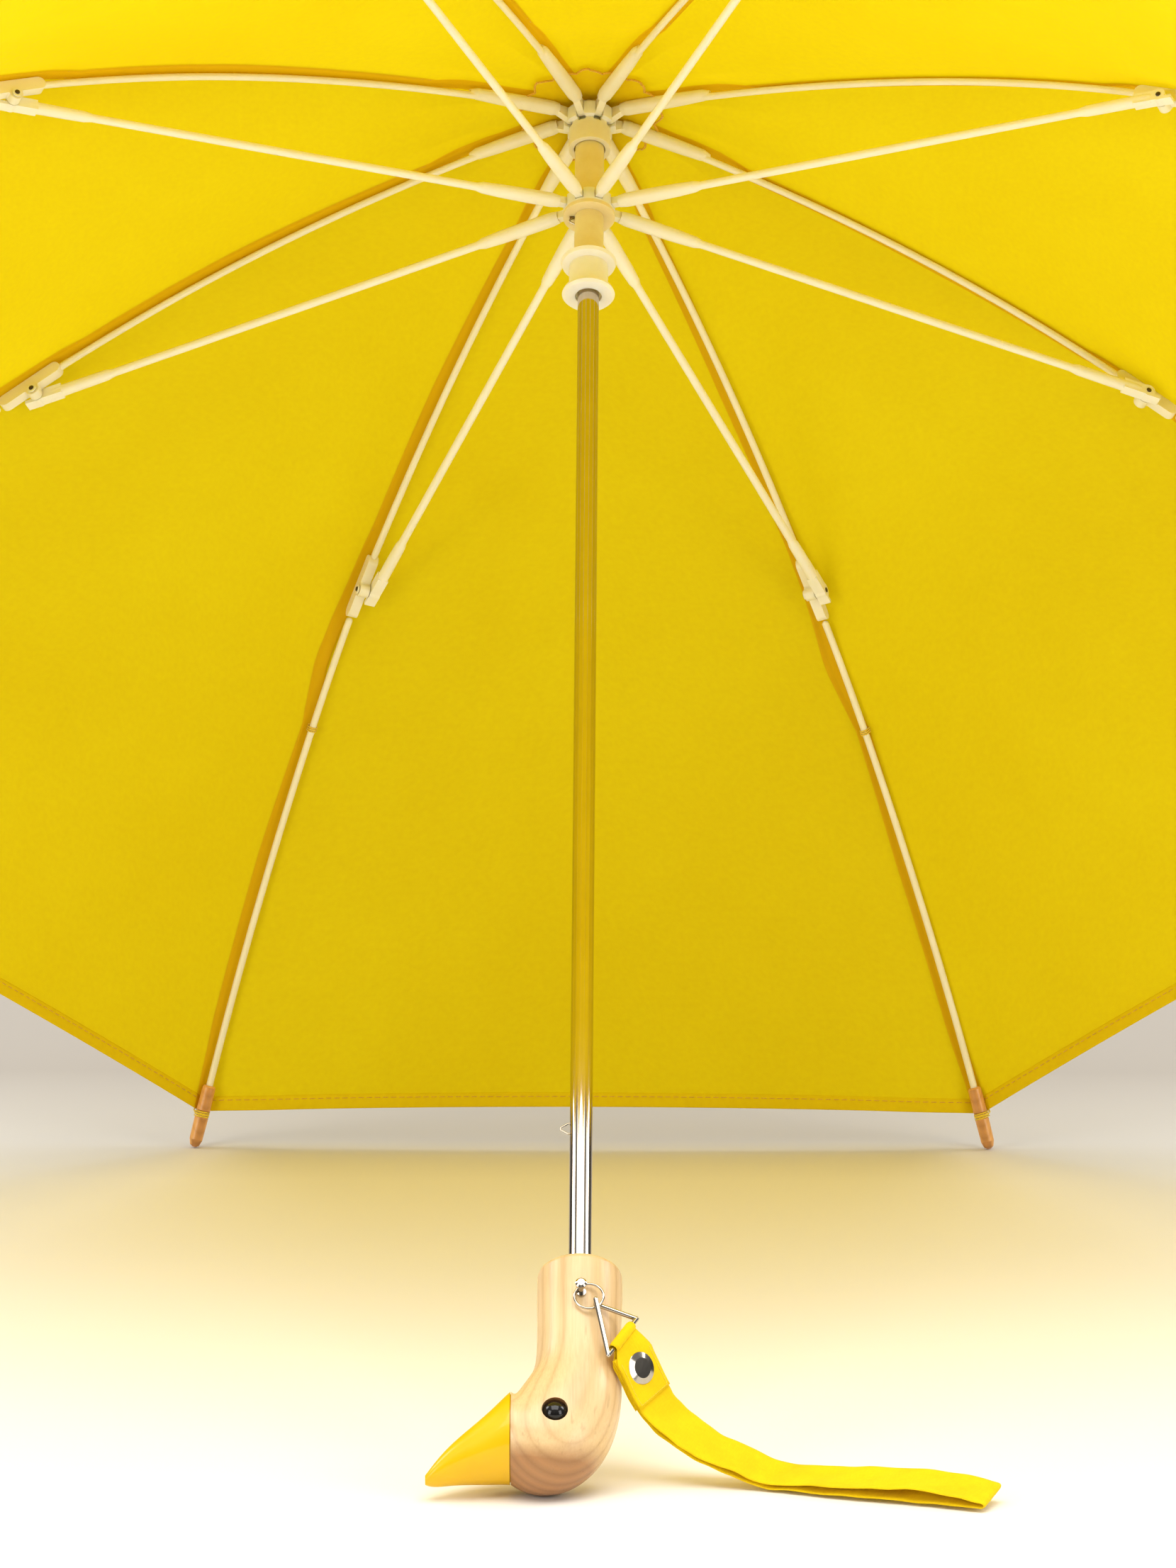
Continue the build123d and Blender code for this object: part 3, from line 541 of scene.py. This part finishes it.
def rib_grid(n):
    """The cloth on both sides of rib n, from one gore's middle to the next."""
    rows, bend = canopy_rows()
    points, uv = [], []
    for s, inward, hem in rows:
        flat, side, z, u, s_row = cloth_row(s, inward, hem)
        mirror = side - 2 * seam_side(s_row) * (1 - u / u[-1])
        points.append(np.concatenate([world(n, flat, -mirror, z)[::-1], world(n, flat, side, z)[1:]]))
        across = np.concatenate([-u[::-1], u[1:]])
        down = np.concatenate([s_row[::-1], s_row[1:]])
        uv.append(np.stack([across, down], 1) * MM)
    return np.array(points), np.array(uv), bend


def grid_normals(grid):
    """Vertex normals of a grid of points, from its quads."""
    normal = np.zeros_like(grid)
    p, q, r, s = grid[:-1, :-1], grid[1:, :-1], grid[1:, 1:], grid[:-1, 1:]
    face = np.cross(r - p, s - q)
    for part in (np.s_[:-1, :-1], np.s_[1:, :-1], np.s_[1:, 1:], np.s_[:-1, 1:]):
        normal[part] += face
    return normal


GRIDS = [rib_grid(n) for n in range(RIBS)]
NORMALS = [grid_normals(grid) for grid, _, _ in GRIDS]
for n in range(RIBS):
    ahead = (n + 1) % RIBS
    shared = NORMALS[n][:, -1] + NORMALS[ahead][:, 0]
    NORMALS[n][:, -1] = shared
    NORMALS[ahead][:, 0] = shared


def stitch(middle, along, up, length=2.3, wire=0.17):
    """One short thread lying on the cloth, dipping in at both ends."""
    steps = np.array([-1, -0.8, -0.35, 0.35, 0.8, 1]) * length * MM / 2
    dip = np.array([-0.35, 0.0, 0.1, 0.1, 0.0, -0.35]) * wire * 2 * MM
    line = middle + steps[:, None] * along + dip[:, None] * up
    return tube(line, np.array([0.4, 0.9, 1, 1, 0.9, 0.4]) * wire * MM, 6)


def seam_stitches(n, start, end):
    """Two rows of stitches on the seam tape along rib n."""
    gather = Gather()
    for side in (-1, 1):
        for s in np.arange(start + 1.5, end - 1.4, 3.1):
            if float(rib(s)[0]) * math.sin(HALF) < 20:
                continue
            off = cover(s) - TAPE_STEP - 0.12
            r0, z0 = rib(s - 1.0, off)
            r1, z1 = rib(s + 1.0, off)
            t = float(seam_side(s)) + side * 2.0
            a, b = world(n, r0, t, z0), world(n, r1, t, z1)
            along = (b - a) / np.linalg.norm(b - a)
            up = -(math.sin(slope(s)) * OUT[n] + math.cos(slope(s)) * UP)
            gather.take(*stitch((a + b) / 2, along, up))
    return gather


def hem_stitches(n, gather):
    """A row of stitches round the hem, on both sides of rib n."""
    flat, side, z, u, s_row = cloth_row(HEM_S - HEM_W + 1.1, HEM_STEP + 0.12, 1.0)
    for sign in (-1, 1):
        mirror = side if sign > 0 else side - 2 * seam_side(s_row) * (1 - u / u[-1])
        line = world(n, flat, sign * mirror, z)
        for place in np.arange(4.2, u[-1] - 1.3, 3.2):
            middle = np.array([np.interp(place, u, line[:, k]) for k in range(3)])
            ahead = np.array([np.interp(place + 0.8, u, line[:, k]) for k in range(3)]) - middle
            up = -(math.sin(slope(HEM_S)) * OUT[n] + math.cos(slope(HEM_S)) * UP)
            gather.take(*stitch(middle, ahead / np.linalg.norm(ahead), up))


def canopy_piece(name, n, low, high, gather):
    grid, uv, _ = GRIDS[n]
    grid, uv, normal = grid[low:high + 1], uv[low:high + 1], NORMALS[n][low:high + 1]
    rows, columns = grid.shape[:2]
    index = np.arange(rows * columns).reshape(rows, columns)
    quads = np.stack([index[:-1, :-1], index[1:, :-1], index[1:, 1:], index[:-1, 1:]], -1).reshape(-1, 4)
    unit = normal / np.linalg.norm(normal, axis=-1)[..., None]
    cloth = mesh_object(name, grid.reshape(-1, 3), quads.tolist(), [YELLOW_CLOTH], uv.reshape(-1, 2),
                        normals=unit.reshape(-1, 3))
    seams = mesh_object(name.replace("canopy", "stitching"), gather.points, gather.faces, [SEAM_THREAD])
    return cloth, seams


for n in range(RIBS):
    number = n + 1
    bend = GRIDS[n][2]
    last = len(GRIDS[n][0]) - 1
    outer_seams = seam_stitches(n, FLEX_S, HEM_S - HEM_W)
    hem_stitches(n, outer_seams)
    inner_seams = seam_stitches(n, 14, FLEX_S)
    for part, body, rows, gather, keep in (("inner", f"rib_{number}", (0, bend), inner_seams, 0.1),
                                           ("outer", f"rib_end_{number}", (bend, last), outer_seams, 0.06)):
        cloth, seams = canopy_piece(f"canopy_{part}_{number}", n, *rows, gather)
        for piece in (cloth, seams):
            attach(piece, body)
            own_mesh(piece)
        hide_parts(f"canopy_gore_{number}")


# ---------------------------------------------------------------- rosette under the crown
def rosette(n):
    """One eighth of the scalloped patch between the crown and the cloth, on rib n."""
    points, uv, faces = [], [], []
    columns = np.linspace(-1, 1, 49)
    fractions = (0.0, 0.2, 0.45, 0.7, 0.88, 1.0)
    for f in fractions:
        for c in columns:
            angle = c * HALF
            lobe = abs(math.sin(2 * angle * RIBS / 2 + math.pi / 2))
            edge = 25.0 + 2.6 * lobe + 0.3 * math.sin(7 * angle + n)
            r = 6.9 + (edge - 6.9) * f
            wave = 0.35 * math.sin(16 * angle + 0.7 * n) * f * f
            base_z = float(np.interp(r * math.cos(angle), RIB_R, RIB_Z)) + 2.6
            points.append(world(n, r * math.cos(angle), r * math.sin(angle), base_z + wave - 0.5 * f * f))
            uv.append(((r * math.sin(angle) + 40) * MM, r * math.cos(angle) * MM))
    width = len(columns)
    border = points[-width:]
    for i in range(len(fractions) - 1):
        for k in range(width - 1):
            faces.append((i * width + k, (i + 1) * width + k, (i + 1) * width + k + 1, i * width + k + 1))
    piece = mesh_object(f"rosette_{n + 1}", points, faces, [PLAIN_CLOTH], uv)
    edge = mesh_object(f"rosette_edge_{n + 1}", *tube(np.array(border), 0.42 * MM, 7), [EDGE_THREAD])
    for part in (piece, edge):
        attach(part, f"rib_{n + 1}")
        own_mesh(part)
    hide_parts("crown_rosette")


for n in range(RIBS):
    rosette(n)


# ---------------------------------------------------------------- thread ties
def tie(n, s, radius, turns, lift, wire=0.28):
    """Thread wound round rib n at s, and stretched up to the seam by lift."""
    line = []
    for k in np.linspace(0, 1, turns * 14 + 1):
        angle = 2 * math.pi * turns * k + 0.6
        reach = radius + 0.25 * math.sin(5 * angle)
        high = reach * math.sin(angle)
        high = high * lift if high > 0 else high
        r, z = rib(s + (k - 0.5) * turns * 0.75, high)
        line.append(world(n, r, float(lean(s)) + reach * math.cos(angle), z))
    return tube(np.array(line), wire * MM, 7)


def ties(n):
    gather = Gather()
    gather.take(*tie(n, TIE_S, 1.75, 3, 1.5))
    for shift in (0, 1.1):
        gather.take(*tie(n, TIP_TIE_S + shift, 2.75, 2, 1.25, 0.3))
    # the two strands from the corner's bar tack down to the wooden tip
    for side in (-1, 1):
        start = world(n, rib(HEM_S - 2.5, 2.6)[0], side * 2.6, rib(HEM_S - 2.5, 2.6)[1])
        middle = world(n, rib(HEM_S, 3.2)[0], side * 2.9, rib(HEM_S, 3.2)[1])
        end = world(n, rib(HEM_S + 0.6, 0.4)[0], side * 2.8, rib(HEM_S + 0.6, 0.4)[1])
        gather.take(*tube(np.array([start, middle, end]), 0.3 * MM, 7))
    piece = mesh_object(f"ties_{n + 1}", gather.points, gather.faces, [TIE_THREAD])
    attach(piece, f"rib_end_{n + 1}")


for n in range(RIBS):
    ties(n)

# ---------------------------------------------------------------- rivet ends at the stretcher joints
RIVET_DARK = enamel("rivet_dark", (0.060, 0.034, 0.016), (0.030, 0.018, 0.010), 0.34)


def rivet_ends(n):
    """The dark closed heads of the rivet on both sides of the joint."""
    r, z = rib(JOINT_S, -RIB_OFF)
    gather = Gather()
    for side, start in ((1, 4.65), (-1, 4.45)):
        steps = np.array([0.0, 0.30, 0.46, 0.55]) + start
        line = np.array([world(n, r, side * x, z) for x in steps])
        gather.take(*tube(line, np.array([1.0, 0.95, 0.7, 0.15]) * MM, 16))
    piece = mesh_object(f"rivet_ends_{n + 1}", gather.points, gather.faces, [RIVET_DARK])
    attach(piece, f"stretcher_{n + 1}")


for n in range(RIBS):
    rivet_ends(n)

# ---------------------------------------------------------------- wrist strap
# Stations of the strap over the floor, mm from the handle's foot: centre, width direction, gap of its layers.
STRAP_W = 17.0
STRAP_T = 0.75
TAB = (0.66, 0.71, 0.23)
ROUTE = (
    ((17.4, -36.1, 47.3), TAB, 0.95), ((20.6, -36.1, 40.6), TAB, 0.95), ((24.4, -36.0, 32.4), TAB, 0.95),
    ((29.4, -36.0, 25.0), (0.60, 0.76, 0.24), 1.0), ((36.6, -36.4, 18.6), (0.53, 0.80, 0.26), 1.1),
    ((45.1, -37.0, 12.9), (0.47, 0.83, 0.27), 1.2), ((56.0, -38.6, 8.4), (0.42, 0.87, 0.26), 1.3),
    ((67.0, -40.6, None), (0.38, 0.90, 0.22), 1.4), ((78.5, -45.0, None), (0.36, 0.91, 0.20), 1.6),
    ((91.3, -50.6, None), (0.33, 0.92, 0.20), 2.4), ((104.9, -55.2, None), (0.30, 0.93, 0.20), 3.4),
    ((118.0, -59.2, None), (0.27, 0.94, 0.20), 3.9), ((131.5, -64.4, None), (0.24, 0.95, 0.21), 3.0),
    ((141.0, -68.2, None), (0.20, 0.95, 0.22), 1.7),
)
LINK_AXIS = np.array(JOINTS["strap_swing"]["axis"], float)
LINK_PIVOT = np.array(JOINTS["strap_swing"]["pos_m"], float)
FOOT = Vector(LINK_PIVOT) - Vector((15.1, -36.0, 51.8)) * MM


def spline(values, count):
    """Catmull-Rom samples through rows of numbers."""
    values = np.asarray(values, float)
    padded = np.concatenate([2 * values[:1] - values[1:2], values, 2 * values[-1:] - values[-2:-1]])
    out = []
    for x in np.linspace(0, len(values) - 1.000001, count):
        i, f = int(x), x - int(x)
        a, b, c, d = padded[i:i + 4]
        out.append(0.5 * (2 * b + (c - a) * f + (2 * a - 5 * b + 4 * c - d) * f * f
                          + (3 * b - a - 3 * c + d) * f ** 3))
    return np.array(out)


def strap_stations(count):
    """Smooth centre, width direction, normal and gap along the strap, in metres."""
    rows = []
    for (x, y, z), width, gap in ROUTE:
        rows.append((x, y, 3.3 + gap / 2 if z is None else z, *width, gap))
    table = spline(rows, count)
    centre, width, gap = table[:, :3] * MM + np.array(FOOT), table[:, 3:6], table[:, 6] * MM
    along = np.gradient(centre, axis=0)
    along /= np.linalg.norm(along, axis=1)[:, None]
    width = width - along * (width * along).sum(1)[:, None]
    width /= np.linalg.norm(width, axis=1)[:, None]
    return centre, width, np.cross(along, width), gap, along


def strap_mesh():
    """One folded tape: out along the upper layer, round the fold and back along the lower one."""
    count = 150
    centre, width, normal, gap, along = strap_stations(count)
    rng = random.Random(7)
    phase = [rng.uniform(0, 6.28) for _ in range(6)]
    if normal[5][2] < 0:
        normal = -normal
    path = []
    for i in range(count):
        path.append((i, 1.0, 0.0))
    for angle in np.linspace(80, -80, 9):
        path.append((count - 1, math.sin(math.radians(angle)), math.cos(math.radians(angle))))
    for i in range(count - 1, -1, -1):
        path.append((i, -1.0, 0.0))
    cross = np.linspace(-1, 1, 19)
    rings, uv = [], []
    travelled = 0.0
    before = None
    for i, side, turn in path:
        loose = smooth((i - 12) / 30)
        middle = centre[i] + normal[i] * side * gap[i] / 2 + along[i] * turn * (gap[i] / 2 + 0.6 * MM)
        if before is not None:
            travelled += float(np.linalg.norm(middle - before))
        before = middle
        ring, row = [], []
        for c in cross:
            x = c * STRAP_W * MM / 2
            ripple = 0.16 * math.sin(i * 0.21 + 2.1 * c + phase[0])
            ripple += 0.12 * math.sin(i * 0.43 - 3.0 * c + phase[1])
            ripple += 0.10 * math.sin(i * 0.9 + 5.0 * c + phase[2]) * (1 - loose)
            cup = 0.45 * (c * c - 0.35) * side * loose
            edge = 0.10 * math.sin(i * 0.7 + phase[3]) * c
            lift = (ripple * side * (0.35 + 0.65 * loose) + cup) * MM
            ring.append(middle + width[i] * (x + edge * MM) + normal[i] * lift)
            row.append((x, travelled))
        rings.append(ring)
        uv.append(row)
    return np.array(rings), np.array(uv)


def slab(grid, uv, thick, name, materials):
    """A tape with thickness and rounded selvedges over a grid of its middle."""
    normal = grid_normals(grid)
    normal /= np.linalg.norm(normal, axis=-1)[..., None]
    rows, columns = grid.shape[:2]
    cross = np.linspace(-1, 1, columns)
    half = thick / 2 * np.sqrt(np.clip(1 - np.abs(cross) ** 14, 0.06, 1))
    top = grid + normal * half[None, :, None]
    low = grid - normal * half[None, :, None]
    loop = np.concatenate([top, low[:, ::-1]], axis=1)
    loop_uv = np.concatenate([uv, uv[:, ::-1]], axis=1)
    size = loop.shape[1]
    faces = []
    for i in range(rows - 1):
        for k in range(size):
            k2 = (k + 1) % size
            faces.append((i * size + k, i * size + k2, (i + 1) * size + k2, (i + 1) * size + k))
    for start in (0, (rows - 1) * size):
        for k in range(columns - 1):
            face = (start + k, start + k + 1, start + size - 2 - k, start + size - 1 - k)
            faces.append(face if start else face[::-1])
    return mesh_object(name, loop.reshape(-1, 3), faces, materials, loop_uv.reshape(-1, 2))


grid, uv = strap_mesh()
lowest = grid[..., 2].min() - STRAP_T * MM / 2
if lowest < 0.0001:
    reach = smooth((0.06 - grid[..., 2]) / 0.05)
    grid[..., 2] += (0.0001 - lowest) * reach
strap = slab(grid, uv, STRAP_T * MM, "strap_tape", [STRAP_WEBBING])
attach(strap, "strap")
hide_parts("strap")


def strap_tab():
    """The tape's loop round the wire link, sewn down under the snap."""
    centre, width, normal, gap, along = strap_stations(150)
    if normal[5][2] < 0:
        normal = -normal
    link = LINK_AXIS if LINK_AXIS @ width[0] > 0 else -LINK_AXIS
    aim = centre[0] - LINK_PIVOT
    aim -= link * (aim @ link)
    aim /= np.linalg.norm(aim)
    face = np.cross(link, aim)
    if face @ normal[0] < 0:
        face = -face
    rows, uv = [], []
    cross = np.linspace(-1, 1, 15)
    loop_r = 1.55 * MM
    outline = []
    for i in (26, 20, 14, 8, 3):
        outline.append((centre[i] + normal[i] * (gap[i] / 2 + 0.85 * MM), width[i], STRAP_W * 1.02))
    for angle in np.linspace(20, 340, 15):
        a = math.radians(angle)
        spot = LINK_PIVOT + aim * loop_r * math.cos(a) + face * loop_r * math.sin(a)
        outline.append((spot, link, 13.4))
    for i in (3, 8, 14, 20, 26):
        outline.append((centre[i] - normal[i] * (gap[i] / 2 + 0.85 * MM), width[i], STRAP_W * 1.02))
    spots = np.array([o[0] for o in outline])
    sides = np.array([o[1] for o in outline])
    wide = np.array([[o[2]] for o in outline])
    table = spline(np.concatenate([spots, sides, wide], 1), 90)
    travelled = 0.0
    for i, line in enumerate(table):
        side = line[3:6] / np.linalg.norm(line[3:6])
        if i:
            travelled += float(np.linalg.norm(line[:3] - table[i - 1][:3]))
        rows.append([line[:3] + side * c * line[6] * MM / 2 for c in cross])
        uv.append([(c * line[6] * MM / 2, travelled) for c in cross])
    piece = slab(np.array(rows), np.array(uv), 0.7 * MM, "strap_tab", [STRAP_WEBBING])
    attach(piece, "strap")
    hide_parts("strap")
    # sewing round the tab's edge
    gather = Gather()
    for i_low, i_high in ((5, 25),):
        for c in (-0.86, 0.86):
            for i in np.arange(i_low, i_high, 1.9):
                k = int(i)
                spot = centre[k] + normal[k] * (gap[k] / 2 + 1.22 * MM) + width[k] * c * STRAP_W * MM / 2
                gather.take(*stitch(spot, along[k], normal[k], 1.7, 0.15))
    for c in np.arange(-0.8, 0.81, 0.145):
        spot = centre[25] + normal[25] * (gap[25] / 2 + 1.22 * MM) + width[25] * c * STRAP_W * MM / 2
        gather.take(*stitch(spot, width[25], normal[25], 1.0, 0.15))
    sewing = mesh_object("strap_stitching", gather.points, gather.faces, [TIE_THREAD])
    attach(sewing, "strap")


strap_tab()

# ---------------------------------------------------------------- floor, light and camera
FLOOR_HALF = 14
FLOOR_DROP = 0.0002
WARM_WHITE = (1.0, 0.985, 0.965)
CAMERA_PLACE = (0.03327, -3.70112, 0.90136)
CAMERA_LENS = 235.92

floor_points = [(x, y, -FLOOR_DROP) for x in (-FLOOR_HALF, FLOOR_HALF) for y in (-FLOOR_HALF, FLOOR_HALF)]
floor = mesh_object("studio_floor", floor_points, [(0, 2, 3, 1)], [floor_paper()])

world_shader = bpy.data.worlds.new("studio")
bpy.context.scene.world = world_shader
world_shader.use_nodes = True
nodes, links = world_shader.node_tree.nodes, world_shader.node_tree.links
sky = nodes["Background"]
direction = nodes.new("ShaderNodeTexCoord")
split = nodes.new("ShaderNodeSeparateXYZ")
shade = nodes.new("ShaderNodeValToRGB")
links.new(direction.outputs["Generated"], split.inputs[0])
links.new(split.outputs["Z"], shade.inputs["Fac"])
links.new(shade.outputs["Color"], sky.inputs["Color"])
shade.color_ramp.elements[0].position = 0.0
shade.color_ramp.elements[0].color = (0.06, 0.06, 0.06, 1)
shade.color_ramp.elements[1].position = 0.75
shade.color_ramp.elements[1].color = (0.95, 0.94, 0.92, 1)
sky.inputs["Strength"].default_value = 0.45


def area_light(name, place, aim, size, power):
    light = bpy.data.lights.new(name, "AREA")
    light.shape = "RECTANGLE"
    light.size, light.size_y = size
    light.energy = power
    light.color = WARM_WHITE
    obj = bpy.data.objects.new(name, light)
    bpy.context.scene.collection.objects.link(obj)
    obj.location = place
    obj.rotation_euler = (Vector(aim) - Vector(place)).to_track_quat("-Z", "Y").to_euler()


area_light("top_light", (0.0, -1.05, 2.7), (0, -0.55, 0.0), (3.0, 2.3), 88)
area_light("left_light", (-2.3, -1.9, 1.0), (0.1, 0.0, 0.15), (1.3, 1.6), 30)
area_light("right_light", (2.3, -1.9, 1.0), (-0.1, 0.0, 0.15), (1.3, 1.6), 27)
area_light("left_rim", (-1.7, 0.5, 1.3), (-0.3, 0.0, 0.3), (0.8, 0.8), 12)
area_light("right_rim", (1.7, 0.5, 1.3), (0.3, 0.0, 0.3), (0.8, 0.8), 12)

camera_data = bpy.data.cameras.new("photo_camera")
camera_data.sensor_fit = "VERTICAL"
camera_data.sensor_height = 36.0
camera_data.lens = CAMERA_LENS
camera_data.clip_start, camera_data.clip_end = 0.1, 60.0
camera = bpy.data.objects.new("photo_camera", camera_data)
bpy.context.scene.collection.objects.link(camera)
right = Vector((0.99996, 0.00884, 0.00053))
upward = Vector((-0.00217, 0.18631, 0.98249))
forward = Vector((-0.00859, 0.98245, -0.18632))
turn = Matrix((right, upward, -forward)).transposed().to_4x4()
camera.matrix_world = Matrix.Translation(CAMERA_PLACE) @ turn
bpy.context.scene.camera = camera
bpy.context.scene.view_settings.view_transform = "Standard"
